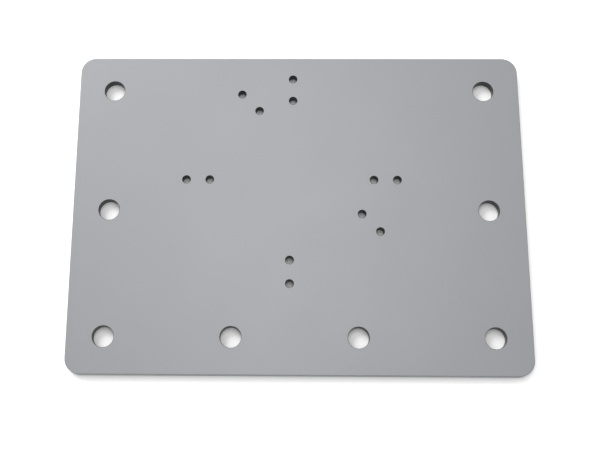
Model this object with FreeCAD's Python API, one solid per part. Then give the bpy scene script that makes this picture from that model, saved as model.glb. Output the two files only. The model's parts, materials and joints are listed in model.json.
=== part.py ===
"""Fixture plate: one flat metal plate with rounded corners, bolted down through eight
large holes and carrying small stops or clips on six pairs of screw holes.

Frame, in millimetres: the origin is the centre of the underside, +X runs along the long
side to the right, +Y runs across to the far edge and +Z is up through the thickness.
"""

import FreeCAD, Part
import collections
import math
import os

# Plate blank
PLATE_LENGTH = 250.0
PLATE_WIDTH = 180.0
PLATE_THICKNESS = 6.0
CORNER_RADIUS = 8.5
EDGE_BREAK = 0.3

# Hold-down holes, clearance for M10 bolts: one in each corner, one halfway along each end,
# and the inner holes of the near row, stepped off from its left-hand corner hole
HOLD_DOWN_DIAMETER = 11.5
END_MARGIN = 20.0
SIDE_MARGIN = 20.0
NEAR_ROW_PITCH = 68.5
NEAR_ROW_INNER_HOLES = 2

# Screw holes, clearance for M4 screws, drilled in pairs that lie along X, along Y or on
# the slant; angles are in degrees, anticlockwise from +X
SCREW_DIAMETER = 4.5
STRAIGHT_SPACING = 13.0
SLANTED_SPACING = 14.0
ALONG_X_ANGLE = 0.0
ALONG_Y_ANGLE = 90.0
SLANT_ANGLE = -45.0

# Midpoints of the pairs, from the nearest line of hold-down holes or from the plate's
# centre lines
FAR_SLANTED_X = -27.0
FAR_SLANTED_FROM_FAR_ROW = -7.0
FAR_UPRIGHT_X = -3.0
FAR_UPRIGHT_FROM_FAR_ROW = 0.7
LEVEL_PAIRS_Y = 17.5
LEFT_LEVEL_FROM_LEFT_COLUMN = 49.0
RIGHT_LEVEL_FROM_RIGHT_COLUMN = -56.5
RIGHT_SLANTED_FROM_RIGHT_COLUMN = -65.0
RIGHT_SLANTED_Y = -7.0
NEAR_UPRIGHT_X = -5.0
NEAR_UPRIGHT_FROM_NEAR_ROW = 35.5

# Break on the rims of every hole, and how far a cutter stands past the faces it cuts
RIM_BREAK = 0.2
CUTTER_OVERRUN = 1.0

# Lines that the hold-down holes stand on
RIGHT_COLUMN_X = PLATE_LENGTH / 2 - END_MARGIN
LEFT_COLUMN_X = -RIGHT_COLUMN_X
FAR_ROW_Y = PLATE_WIDTH / 2 - SIDE_MARGIN
MIDDLE_ROW_Y = 0.0
NEAR_ROW_Y = -FAR_ROW_Y

ScrewPair = collections.namedtuple("ScrewPair", "middle_x middle_y angle spacing")

SCREW_PAIRS = [
    ScrewPair(
        middle_x=FAR_SLANTED_X,
        middle_y=FAR_ROW_Y + FAR_SLANTED_FROM_FAR_ROW,
        angle=SLANT_ANGLE,
        spacing=SLANTED_SPACING,
    ),
    ScrewPair(
        middle_x=FAR_UPRIGHT_X,
        middle_y=FAR_ROW_Y + FAR_UPRIGHT_FROM_FAR_ROW,
        angle=ALONG_Y_ANGLE,
        spacing=STRAIGHT_SPACING,
    ),
    ScrewPair(
        middle_x=LEFT_COLUMN_X + LEFT_LEVEL_FROM_LEFT_COLUMN,
        middle_y=LEVEL_PAIRS_Y,
        angle=ALONG_X_ANGLE,
        spacing=STRAIGHT_SPACING,
    ),
    ScrewPair(
        middle_x=RIGHT_COLUMN_X + RIGHT_LEVEL_FROM_RIGHT_COLUMN,
        middle_y=LEVEL_PAIRS_Y,
        angle=ALONG_X_ANGLE,
        spacing=STRAIGHT_SPACING,
    ),
    ScrewPair(
        middle_x=RIGHT_COLUMN_X + RIGHT_SLANTED_FROM_RIGHT_COLUMN,
        middle_y=RIGHT_SLANTED_Y,
        angle=SLANT_ANGLE,
        spacing=SLANTED_SPACING,
    ),
    ScrewPair(
        middle_x=NEAR_UPRIGHT_X,
        middle_y=NEAR_ROW_Y + NEAR_UPRIGHT_FROM_NEAR_ROW,
        angle=ALONG_Y_ANGLE,
        spacing=STRAIGHT_SPACING,
    ),
]


def point(x, y, z=0.0):
    """Vector at the given place."""
    return FreeCAD.Vector(x, y, z)


def point_on_circle(centre_x, centre_y, radius, angle):
    """Vector on a circle that lies flat at Z = 0, at an angle in degrees from +X."""
    turn = math.radians(angle)
    return point(centre_x + radius * math.cos(turn), centre_y + radius * math.sin(turn))


def outline_wire():
    """Outline of the plate on its underside: four straight sides joined by tangent arcs."""
    centre_x = PLATE_LENGTH / 2 - CORNER_RADIUS
    centre_y = PLATE_WIDTH / 2 - CORNER_RADIUS
    # Arc centres with the angle each arc starts at, anticlockwise from the near right
    corners = [
        (centre_x, -centre_y, 270.0),
        (centre_x, centre_y, 0.0),
        (-centre_x, centre_y, 90.0),
        (-centre_x, -centre_y, 180.0),
    ]
    arcs = []
    for corner_x, corner_y, start in corners:
        angles = (start, start + 45.0, start + 90.0)
        arcs.append([point_on_circle(corner_x, corner_y, CORNER_RADIUS, a) for a in angles])

    edges = []
    for arc, next_arc in zip(arcs, arcs[1:] + arcs[:1]):
        edges.append(Part.Arc(*arc).toShape())
        edges.append(Part.LineSegment(arc[-1], next_arc[0]).toShape())
    return Part.Wire(edges)


def plate_blank():
    """Plate before drilling, with the sharpness taken off its top and bottom outlines."""
    blank = Part.Face(outline_wire()).extrude(point(0.0, 0.0, PLATE_THICKNESS))
    outlines = []
    for edge in blank.Edges:
        if math.isclose(edge.BoundBox.ZMin, edge.BoundBox.ZMax, abs_tol=1e-6):
            outlines.append(edge)
    return blank.makeChamfer(EDGE_BREAK, outlines)


def hole_cutter(diameter):
    """Cutter for one through hole at the origin: a straight drill that flares at 45 degrees
    where it leaves each face, so that it breaks both rims of the hole."""
    radius = diameter / 2
    flare_radius = radius + RIM_BREAK + CUTTER_OVERRUN
    top = PLATE_THICKNESS
    profile = Part.makePolygon(
        [
            point(0.0, 0.0, -CUTTER_OVERRUN),
            point(flare_radius, 0.0, -CUTTER_OVERRUN),
            point(radius, 0.0, RIM_BREAK),
            point(radius, 0.0, top - RIM_BREAK),
            point(flare_radius, 0.0, top + CUTTER_OVERRUN),
            point(0.0, 0.0, top + CUTTER_OVERRUN),
            point(0.0, 0.0, -CUTTER_OVERRUN),
        ]
    )
    return Part.Face(profile).revolve(point(0.0, 0.0), point(0.0, 0.0, 1.0), 360.0)


def hold_down_centres():
    """Centres of the large holes."""
    centres = []
    for column_x in (LEFT_COLUMN_X, RIGHT_COLUMN_X):
        for row_y in (FAR_ROW_Y, MIDDLE_ROW_Y, NEAR_ROW_Y):
            centres.append(point(column_x, row_y))
    for step in range(1, NEAR_ROW_INNER_HOLES + 1):
        centres.append(point(LEFT_COLUMN_X + step * NEAR_ROW_PITCH, NEAR_ROW_Y))
    return centres


def screw_centres():
    """Centres of the small holes, half a spacing either way from each pair's midpoint."""
    centres = []
    for pair in SCREW_PAIRS:
        for reach in (-pair.spacing / 2, pair.spacing / 2):
            centres.append(point_on_circle(pair.middle_x, pair.middle_y, reach, pair.angle))
    return centres


def fixture_plate():
    """The finished plate, with all of its holes cut from the blank at once."""
    cutters = []
    for diameter, centres in (
        (HOLD_DOWN_DIAMETER, hold_down_centres()),
        (SCREW_DIAMETER, screw_centres()),
    ):
        cutter = hole_cutter(diameter)
        cutters += [cutter.translated(centre) for centre in centres]
    return plate_blank().cut(cutters)


os.makedirs("parts", exist_ok=True)
fixture_plate().exportStep("parts/fixture_plate.step")
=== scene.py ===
"""Dresses the fixture plate: its fine mesh, its blasted and anodised finish, the pale
studio that it lies in, and the camera that looks down on it.

Sizes are in metres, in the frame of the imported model: the plate lies on Z = 0, with its
long side along X.
"""

import json
import logging
import math
from collections.abc import Iterable
from dataclasses import dataclass, field
from enum import Enum

import bmesh
import bpy
from mathutils import Matrix, Vector


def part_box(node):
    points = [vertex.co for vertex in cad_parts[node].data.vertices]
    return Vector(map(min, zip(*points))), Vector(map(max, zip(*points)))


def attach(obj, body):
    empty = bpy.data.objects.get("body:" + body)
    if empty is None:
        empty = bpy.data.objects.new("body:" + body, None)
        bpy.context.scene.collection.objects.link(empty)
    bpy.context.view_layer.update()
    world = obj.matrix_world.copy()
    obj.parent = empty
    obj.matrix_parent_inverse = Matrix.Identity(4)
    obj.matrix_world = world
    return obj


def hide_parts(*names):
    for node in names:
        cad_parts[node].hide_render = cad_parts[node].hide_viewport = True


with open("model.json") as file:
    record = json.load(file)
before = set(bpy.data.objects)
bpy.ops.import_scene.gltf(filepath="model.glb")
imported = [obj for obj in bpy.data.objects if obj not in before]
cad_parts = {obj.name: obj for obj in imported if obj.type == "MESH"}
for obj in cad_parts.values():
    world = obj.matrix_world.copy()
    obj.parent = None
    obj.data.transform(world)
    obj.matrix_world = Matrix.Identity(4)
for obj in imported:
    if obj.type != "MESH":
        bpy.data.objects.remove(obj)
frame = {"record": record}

NODE = "fixture_plate"
BODY = "root"
MILLIMETRE = 0.001

# Points closer than this stand in the same place.
SAME_PLACE = 1e-7

# A face whose normal stands at least this near to upright is flat.
UPRIGHT = 0.999

# Most of a noise texture's values lie between these two.
NOISE_LOW = 0.3
NOISE_HIGH = 0.7

Colour = tuple[float, float, float, float]

log = logging.getLogger("fixture_plate")


# --- The holes, read from the record ---------------------------------------------------


class PatternLine(Enum):
    """How the holes of a bolt pattern stand."""

    RECTANGLE = "four corners of a rectangle"
    ALONG_X = "two holes along X"
    ALONG_Y = "two holes along Y"
    SLANT = "two holes on the slant"


@dataclass(frozen=True)
class Hole:
    """One round hole through the plate."""

    x: float
    y: float
    radius: float


@dataclass(frozen=True)
class HolePattern:
    """The holes that one bolt-pattern mount of the record stands for.

    The record gives a slanting pair its spacing and its middle but not its direction, so
    the direction is a size of its own here.
    """

    centre: Vector
    dims: dict[str, float]
    slant: float = math.radians(-45.0)

    @classmethod
    def from_mount(cls, mount: dict) -> "HolePattern":
        """Reads a pattern from a mount.

        Args:
            mount: one bolt-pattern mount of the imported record.

        Returns:
            The pattern, with its centre in metres and its dims in millimetres.
        """
        return cls(centre=Vector(mount["pos_m"]), dims=mount["dims"])

    @property
    def line(self) -> PatternLine:
        """The way the holes stand, told from the spacings that the mount states."""
        if "pcd_mm" in self.dims:
            return PatternLine.SLANT
        if "spacing_x_mm" in self.dims and "spacing_y_mm" in self.dims:
            return PatternLine.RECTANGLE
        return PatternLine.ALONG_X if "spacing_x_mm" in self.dims else PatternLine.ALONG_Y

    def offsets(self) -> list[Vector]:
        """Works out where the holes stand about the middle of the pattern.

        Returns:
            One vector for each hole, in metres.
        """
        half_x = self.dims.get("spacing_x_mm", 0.0) / 2 * MILLIMETRE
        half_y = self.dims.get("spacing_y_mm", 0.0) / 2 * MILLIMETRE
        if self.line is PatternLine.RECTANGLE:
            corners = [(-1, -1), (-1, 1), (1, -1), (1, 1)]
            return [Vector((side_x * half_x, side_y * half_y, 0.0)) for side_x, side_y in corners]
        if self.line is PatternLine.SLANT:
            half = self.dims["pcd_mm"] / 2 * MILLIMETRE
            reach = Vector((half * math.cos(self.slant), half * math.sin(self.slant), 0.0))
        else:
            reach = Vector((half_x, half_y, 0.0))
        return [-reach, reach]

    def holes(self) -> list[Hole]:
        """Lists the pattern's holes, each with its place and radius."""
        radius = self.dims["hole_r_mm"] * MILLIMETRE
        places = [self.centre + offset for offset in self.offsets()]
        return [Hole(place.x, place.y, radius) for place in places]


def recorded_holes(record: dict) -> list[Hole]:
    """Lists every hole that the record's bolt patterns state.

    Args:
        record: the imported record.

    Returns:
        The holes, large and small, in the order of the mounts.
    """
    holes = []
    for mount in record["mounts"]:
        if mount["kind"] == "bolt_pattern":
            holes += HolePattern.from_mount(mount).holes()
    return holes


# --- Finishes ----------------------------------------------------------------------------


class NodeSheet:
    """A material's node tree, with short ways to add and join nodes."""

    def __init__(self, name: str) -> None:
        """Starts an empty node tree in a new material of the given name."""
        self.material = bpy.data.materials.new(name)
        self.material.use_nodes = True
        self.tree = self.material.node_tree
        self.tree.nodes.clear()
        self.output = self.add("ShaderNodeOutputMaterial")

    def add(self, kind: str, **settings: object) -> bpy.types.Node:
        """Adds a node.

        Args:
            kind: the node's type name.
            settings: properties of the node, by name.

        Returns:
            The new node.
        """
        node = self.tree.nodes.new(kind)
        for name, value in settings.items():
            setattr(node, name, value)
        return node

    def join(self, source: bpy.types.NodeSocket, target: bpy.types.NodeSocket) -> None:
        """Links an output socket to an input socket."""
        self.tree.links.new(source, target)

    def noise(
        self, place: bpy.types.NodeSocket, size: float, detail: float
    ) -> bpy.types.NodeSocket:
        """Adds a noise texture.

        Args:
            place: the coordinates that it reads.
            size: about how wide its patches are, in metres.
            detail: how many finer layers it holds.

        Returns:
            The noise's value, around 0.5.
        """
        node = self.add("ShaderNodeTexNoise")
        node.inputs["Scale"].default_value = 1.0 / size
        node.inputs["Detail"].default_value = detail
        self.join(place, node.inputs["Vector"])
        return node.outputs["Fac"]

    def spread(
        self, value: bpy.types.NodeSocket, low: float, high: float
    ) -> bpy.types.NodeSocket:
        """Spreads a noise value over a range.

        Args:
            value: a noise value, mostly between NOISE_LOW and NOISE_HIGH.
            low: what NOISE_LOW becomes.
            high: what NOISE_HIGH becomes.

        Returns:
            The spread value.
        """
        node = self.add("ShaderNodeMapRange")
        node.inputs["From Min"].default_value = NOISE_LOW
        node.inputs["From Max"].default_value = NOISE_HIGH
        node.inputs["To Min"].default_value = low
        node.inputs["To Max"].default_value = high
        self.join(value, node.inputs["Value"])
        return node.outputs["Result"]

    def blend(
        self, share: bpy.types.NodeSocket, first: Colour, second: Colour
    ) -> bpy.types.NodeSocket:
        """Blends two colours by a share from 0 to 1.

        Args:
            share: how much of the second colour shows.
            first: the colour at 0.
            second: the colour at 1.

        Returns:
            The blended colour.
        """
        node = self.add("ShaderNodeMix", data_type="RGBA")
        colours = [socket for socket in node.inputs if socket.type == "RGBA"]
        colours[0].default_value = first
        colours[1].default_value = second
        self.join(share, node.inputs[0])
        return next(socket for socket in node.outputs if socket.type == "RGBA")

    def bump(
        self, height: bpy.types.NodeSocket, depth: float, strength: float
    ) -> bpy.types.NodeSocket:
        """Turns a height into a bumped normal.

        Args:
            height: the height, from 0 to 1.
            depth: how deep a height of 1 is, in metres.
            strength: how much of the bump shows.

        Returns:
            The bumped normal.
        """
        node = self.add("ShaderNodeBump")
        node.inputs["Strength"].default_value = strength
        node.inputs["Distance"].default_value = depth
        self.join(height, node.inputs["Height"])
        return node.outputs["Normal"]


@dataclass(frozen=True)
class BlastedAnodise:
    """Even grey anodising over a fine-blasted face, dull with a slight satin sheen."""

    name: str = "blasted_anodise"
    light_grey: Colour = (0.408, 0.419, 0.441, 1.0)
    deep_grey: Colour = (0.402, 0.413, 0.435, 1.0)
    metallic: float = 0.08
    roughness: tuple[float, float] = (0.39, 0.41)
    grain_size: float = 0.00022
    grain_depth: float = 0.000012
    grain_strength: float = 0.5
    grain_detail: float = 2.0
    cloud_size: float = 0.035
    cloud_detail: float = 3.0

    def material(self) -> bpy.types.Material:
        """Builds the finish: a blasted grain over faint clouds of tone and sheen."""
        sheet = NodeSheet(self.name)
        place = sheet.add("ShaderNodeTexCoord").outputs["Object"]
        shader = sheet.add("ShaderNodeBsdfPrincipled")
        shader.inputs["Metallic"].default_value = self.metallic
        clouds = sheet.noise(place, self.cloud_size, self.cloud_detail)
        grain = sheet.noise(place, self.grain_size, self.grain_detail)
        share = sheet.spread(clouds, 0.0, 1.0)
        sheet.join(
            sheet.blend(share, self.light_grey, self.deep_grey), shader.inputs["Base Color"]
        )
        sheet.join(sheet.spread(clouds, *self.roughness), shader.inputs["Roughness"])
        sheet.join(
            sheet.bump(grain, self.grain_depth, self.grain_strength), shader.inputs["Normal"]
        )
        sheet.join(shader.outputs["BSDF"], sheet.output.inputs["Surface"])
        return sheet.material


@dataclass(frozen=True)
class DrilledBoreWithPaintedShade:
    """The drilled wall of a hole, with fine rings from the drill, and painted far darker than the
    faces as painted shade.
    """

    name: str = "drilled_bore_painted_shade"
    # Painted shade: this grey is far darker than the faces', standing in for the shade deep
    # inside the holes.
    painted_shade_grey: Colour = (0.035, 0.036, 0.038, 1.0)
    metallic: float = 0.7
    roughness: float = 0.42
    ring_pitch: float = 0.00035
    ring_depth: float = 0.000012
    ring_strength: float = 0.6
    ring_wobble: float = 1.5
    ring_detail: float = 2.0

    def material(self) -> bpy.types.Material:
        """Builds the finish: rings stacked along the hole, a little uneven."""
        sheet = NodeSheet(self.name)
        place = sheet.add("ShaderNodeTexCoord").outputs["Object"]
        shader = sheet.add("ShaderNodeBsdfPrincipled")
        shader.inputs["Base Color"].default_value = self.painted_shade_grey
        shader.inputs["Metallic"].default_value = self.metallic
        shader.inputs["Roughness"].default_value = self.roughness
        rings = sheet.add("ShaderNodeTexWave", wave_type="BANDS", bands_direction="Z")
        rings.inputs["Scale"].default_value = math.pi / 10 / self.ring_pitch
        rings.inputs["Distortion"].default_value = self.ring_wobble
        rings.inputs["Detail"].default_value = self.ring_detail
        sheet.join(place, rings.inputs["Vector"])
        sheet.join(
            sheet.bump(rings.outputs["Fac"], self.ring_depth, self.ring_strength),
            shader.inputs["Normal"],
        )
        sheet.join(shader.outputs["BSDF"], sheet.output.inputs["Surface"])
        return sheet.material


# --- The plate ---------------------------------------------------------------------------


class PlateSurface(Enum):
    """The plate's material slots, by what each of them covers."""

    FACE = 0
    BORE = 1


@dataclass
class DressedPlate:
    """The plate's fine mesh, in one piece, with every edge softly broken.

    Its length, width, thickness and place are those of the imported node.
    """

    low: Vector
    high: Vector
    holes: list[Hole]
    corner_radius: float = 8.5 * MILLIMETRE
    edge_break: float = 0.3 * MILLIMETRE
    rim_break: float = 0.2 * MILLIMETRE
    corner_segments: int = 24
    break_segments: int = 3
    hole_steps: int = 96
    face_finish: BlastedAnodise = field(default_factory=BlastedAnodise)
    # The bore material carries the drill rings and a painted shade on the hole walls.
    bore_rings_and_painted_shade: DrilledBoreWithPaintedShade = field(default_factory=DrilledBoreWithPaintedShade)

    def add_blank(self, bm: bmesh.types.BMesh) -> None:
        """Adds the undrilled plate: a rounded rectangle, raised and with broken edges."""
        size = self.high - self.low
        middle = (self.high + self.low) / 2
        corners = bmesh.ops.create_grid(bm, x_segments=1, y_segments=1, size=0.5)["verts"]
        bmesh.ops.scale(bm, vec=(size.x, size.y, 1.0), verts=corners)
        bmesh.ops.translate(bm, vec=(middle.x, middle.y, self.low.z), verts=corners)
        bmesh.ops.bevel(
            bm,
            geom=corners,
            offset=self.corner_radius,
            segments=self.corner_segments,
            profile=0.5,
            affect="VERTICES",
            material=-1,
        )
        raised = bmesh.ops.extrude_face_region(bm, geom=bm.faces[:], use_keep_orig=True)
        lifted = [item for item in raised["geom"] if isinstance(item, bmesh.types.BMVert)]
        bmesh.ops.translate(bm, vec=(0.0, 0.0, size.z), verts=lifted)
        bmesh.ops.recalc_face_normals(bm, faces=bm.faces[:])
        bmesh.ops.bevel(
            bm,
            geom=[edge for edge in bm.edges if self.is_flat(edge)],
            offset=self.edge_break,
            segments=self.break_segments,
            profile=0.5,
            affect="EDGES",
            material=-1,
        )

    def is_flat(self, edge: bmesh.types.BMEdge) -> bool:
        """Tells whether an edge lies in the top or the bottom face."""
        first, second = edge.verts
        return math.isclose(first.co.z, second.co.z, abs_tol=SAME_PLACE)

    def open_faces(self, bm: bmesh.types.BMesh) -> None:
        """Takes out the blank's top and bottom faces, and leaves their outlines."""
        flats = [face for face in bm.faces if abs(face.normal.z) > UPRIGHT]
        bmesh.ops.delete(bm, geom=flats, context="FACES_ONLY")

    def rim_profile(self, hole: Hole) -> list[Vector]:
        """Works out the line that a hole's wall is turned from.

        Args:
            hole: the hole.

        Returns:
            Points from the top rim to the bottom rim, both softly broken.
        """
        break_turns = [
            math.pi / 2 * step / self.break_segments for step in range(self.break_segments + 1)
        ]
        points = []
        for turn in break_turns:
            out = hole.radius + self.rim_break * (1 - math.sin(turn))
            drop = self.rim_break * (1 - math.cos(turn))
            points.append((out, drop))
        top = [Vector((hole.x + out, hole.y, self.high.z - drop)) for out, drop in points]
        bottom = [Vector((hole.x + out, hole.y, self.low.z + drop)) for out, drop in points]
        return top + bottom[::-1]

    def add_bore(self, bm: bmesh.types.BMesh, hole: Hole) -> None:
        """Adds the wall of a hole, turned about its axis.

        Args:
            bm: the mesh that it is added to.
            hole: the hole.
        """
        verts = [bm.verts.new(place) for place in self.rim_profile(hole)]
        edges = [bm.edges.new(pair) for pair in zip(verts, verts[1:])]
        walls = set(bm.faces)
        bmesh.ops.spin(
            bm,
            geom=verts + edges,
            cent=(hole.x, hole.y, 0.0),
            axis=(0.0, 0.0, 1.0),
            angle=math.tau,
            steps=self.hole_steps,
            use_merge=True,
        )
        for face in set(bm.faces) - walls:
            face.material_index = PlateSurface.BORE.value

    def close_face(self, bm: bmesh.types.BMesh, level: float) -> None:
        """Fills the flat face at one level, between the outline and the rims.

        Args:
            bm: the mesh.
            level: the height of the face.
        """
        rims = [
            edge
            for edge in bm.edges
            if edge.is_boundary
            and all(math.isclose(vert.co.z, level, abs_tol=SAME_PLACE) for vert in edge.verts)
        ]
        bmesh.ops.triangle_fill(
            bm, use_beauty=True, use_dissolve=False, edges=rims, normal=(0.0, 0.0, 1.0)
        )

    def shade(self, bm: bmesh.types.BMesh) -> None:
        """Shades every wall and break smooth, and keeps the two faces flat."""
        for face in bm.faces:
            face.smooth = True
        for edge in bm.edges:
            flats = [abs(face.normal.z) > UPRIGHT for face in edge.link_faces]
            edge.smooth = all(flats) or not any(flats)

    def build(self) -> bpy.types.Object:
        """Builds the plate, dresses it and puts it in place of the plain node.

        Returns:
            The plate's object, at the origin.
        """
        bm = bmesh.new()
        self.add_blank(bm)
        self.open_faces(bm)
        for hole in self.holes:
            self.add_bore(bm, hole)
        bmesh.ops.remove_doubles(bm, verts=bm.verts[:], dist=SAME_PLACE)
        self.close_face(bm, self.high.z)
        self.close_face(bm, self.low.z)
        bmesh.ops.recalc_face_normals(bm, faces=bm.faces[:])
        self.shade(bm)
        mesh = bpy.data.meshes.new("plate")
        bm.to_mesh(mesh)
        bm.free()
        mesh.materials.append(self.face_finish.material())
        mesh.materials.append(self.bore_rings_and_painted_shade.material())
        plate = bpy.data.objects.new("plate", mesh)
        bpy.context.scene.collection.objects.link(plate)
        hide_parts(NODE)
        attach(plate, BODY)
        return plate


# --- The studio --------------------------------------------------------------------------


@dataclass(frozen=True)
class PaleFloor:
    """A plain white floor that keeps the plate's soft shadow.

    In plain view the floor also glows, so that it reads as white. The glow fades where
    the plate closes the floor in, as painted shade, so the holes stay darker and the shadow
    stays.
    """

    half_width: float = 3.0
    white: Colour = (1.0, 1.0, 1.0, 1.0)
    glow: float = 0.9
    glow_reach: float = 0.02
    glow_fade: float = 1.2
    glow_samples: int = 16

    def material(self) -> bpy.types.Material:
        """Builds the floor's white paint and the glow over it."""
        sheet = NodeSheet("pale_floor")
        paint = sheet.add("ShaderNodeBsdfDiffuse")
        paint.inputs["Color"].default_value = self.white
        path = sheet.add("ShaderNodeLightPath")
        seen = sheet.add("ShaderNodeMath", operation="MAXIMUM")
        sheet.join(path.outputs["Is Camera Ray"], seen.inputs[0])
        sheet.join(path.outputs["Is Glossy Ray"], seen.inputs[1])
        # Painted shade: ambient occlusion dims the glow at the plate's foot and inside its holes.
        openness = sheet.add("ShaderNodeAmbientOcclusion", samples=self.glow_samples)
        openness.inputs["Distance"].default_value = self.glow_reach
        fade = sheet.add("ShaderNodeMath", operation="POWER")
        fade.inputs[1].default_value = self.glow_fade
        sheet.join(openness.outputs["AO"], fade.inputs[0])
        level = sheet.add("ShaderNodeMath", operation="MULTIPLY")
        level.inputs[1].default_value = self.glow
        sheet.join(fade.outputs["Value"], level.inputs[0])
        shown = sheet.add("ShaderNodeMath", operation="MULTIPLY")
        sheet.join(level.outputs["Value"], shown.inputs[0])
        sheet.join(seen.outputs["Value"], shown.inputs[1])
        glow = sheet.add("ShaderNodeEmission")
        sheet.join(shown.outputs["Value"], glow.inputs["Strength"])
        both = sheet.add("ShaderNodeAddShader")
        sheet.join(paint.outputs["BSDF"], both.inputs[0])
        sheet.join(glow.outputs["Emission"], both.inputs[1])
        sheet.join(both.outputs["Shader"], sheet.output.inputs["Surface"])
        return sheet.material

    def build(self) -> bpy.types.Object:
        """Builds the floor at the height that the plate lies on."""
        bm = bmesh.new()
        bmesh.ops.create_grid(bm, x_segments=1, y_segments=1, size=self.half_width)
        mesh = bpy.data.meshes.new("floor")
        bm.to_mesh(mesh)
        bm.free()
        mesh.materials.append(self.material())
        floor = bpy.data.objects.new("floor", mesh)
        bpy.context.scene.collection.objects.link(floor)
        return floor


@dataclass(frozen=True)
class Softbox:
    """A rectangular lamp that looks at a point of the plate."""

    name: str
    place: tuple[float, float, float]
    aim: tuple[float, float, float]
    width: float
    depth: float
    watts: float

    def build(self) -> bpy.types.Object:
        """Builds the lamp and turns it to its aim."""
        lamp = bpy.data.lights.new(self.name, "AREA")
        lamp.shape = "RECTANGLE"
        lamp.size = self.width
        lamp.size_y = self.depth
        lamp.energy = self.watts
        holder = bpy.data.objects.new(self.name, lamp)
        holder.location = self.place
        holder.rotation_euler = (
            (Vector(self.aim) - Vector(self.place)).to_track_quat("-Z", "Y").to_euler()
        )
        bpy.context.scene.collection.objects.link(holder)
        return holder


@dataclass(frozen=True)
class Surroundings:
    """The white room round the plate, white where it is seen and softer as a light."""

    seen: float = 1.0
    as_light: float = 0.1

    def build(self) -> bpy.types.World:
        """Builds the world and makes it the scene's own."""
        world = bpy.data.worlds.new("pale_room")
        world.use_nodes = True
        tree = world.node_tree
        tree.nodes.clear()
        output = tree.nodes.new("ShaderNodeOutputWorld")
        backdrop = tree.nodes.new("ShaderNodeBackground")
        path = tree.nodes.new("ShaderNodeLightPath")
        seen = tree.nodes.new("ShaderNodeMath")
        seen.operation = "MAXIMUM"
        through = tree.nodes.new("ShaderNodeMath")
        through.operation = "MAXIMUM"
        level = tree.nodes.new("ShaderNodeMapRange")
        level.inputs["To Min"].default_value = self.as_light
        level.inputs["To Max"].default_value = self.seen
        tree.links.new(path.outputs["Is Camera Ray"], seen.inputs[0])
        tree.links.new(path.outputs["Is Glossy Ray"], seen.inputs[1])
        tree.links.new(seen.outputs["Value"], through.inputs[0])
        tree.links.new(path.outputs["Is Transmission Ray"], through.inputs[1])
        tree.links.new(through.outputs["Value"], level.inputs["Value"])
        tree.links.new(level.outputs["Result"], backdrop.inputs["Strength"])
        tree.links.new(backdrop.outputs["Background"], output.inputs["Surface"])
        bpy.context.scene.world = world
        return world


@dataclass
class Studio:
    """The floor, the room and the lamps."""

    floor: PaleFloor = field(default_factory=PaleFloor)
    room: Surroundings = field(default_factory=Surroundings)
    lamps: tuple[Softbox, ...] = (
        Softbox(
            name="key",
            place=(-1.19, 1.52, 1.74),
            aim=(0.0, 0.0, 0.0),
            width=1.2,
            depth=1.2,
            watts=45.0,
        ),
        Softbox(
            name="overhead",
            place=(0.0, 0.28, 1.3),
            aim=(0.0, 0.27, 0.0),
            width=0.4,
            depth=0.7,
            watts=4.1,
        ),
    )

    def build(self) -> None:
        """Builds everything round the plate."""
        self.floor.build()
        self.room.build()
        for lamp in self.lamps:
            lamp.build()
        bpy.context.scene.view_settings.view_transform = "Standard"


# --- The camera --------------------------------------------------------------------------


@dataclass(frozen=True)
class ViewFromAbove:
    """The camera: where it stands about a point of the plate, and its lens."""

    aim: tuple[float, float, float] = (-0.0193, 0.0260, 0.006)
    azimuth: float = math.radians(3.75)
    elevation: float = math.radians(73.4)
    roll: float = math.radians(3.45)
    distance: float = 0.6
    focal_length: float = 64.3
    sensor_width: float = 36.0
    shift_x: float = 0.06
    shift_y: float = -0.10

    def build(self) -> bpy.types.Object:
        """Builds the camera and makes it the scene's own."""
        data = bpy.data.cameras.new("view_from_above")
        data.lens = self.focal_length
        data.sensor_width = self.sensor_width
        data.shift_x = self.shift_x
        data.shift_y = self.shift_y
        flat = math.cos(self.elevation)
        back = Vector(
            (
                math.sin(self.azimuth) * flat,
                -math.cos(self.azimuth) * flat,
                math.sin(self.elevation),
            )
        )
        camera = bpy.data.objects.new("view_from_above", data)
        turned = (-back).to_track_quat("-Z", "Y").to_matrix().to_4x4()
        camera.matrix_world = (
            Matrix.Translation(Vector(self.aim) + back * self.distance)
            @ turned
            @ Matrix.Rotation(-self.roll, 4, "Z")
        )
        bpy.context.scene.collection.objects.link(camera)
        bpy.context.scene.camera = camera
        return camera


# --- Everything in order -----------------------------------------------------------------


def main() -> None:
    """Builds the plate, the studio and the camera, and notes how many holes and faces there are.
    """
    logging.basicConfig(level=logging.INFO, format="%(name)s: %(message)s")
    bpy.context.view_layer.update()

    low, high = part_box(NODE)
    holes = recorded_holes(frame["record"])
    log.info("%d holes read from the record", len(holes))

    plate = DressedPlate(low=Vector(low), high=Vector(high), holes=holes).build()
    log.info("plate: %d faces", len(plate.data.polygons))

    Studio().build()
    log.info("studio: floor, room and lamps")

    ViewFromAbove().build()
    log.info("camera placed")


if __name__ == "__main__":
    main()
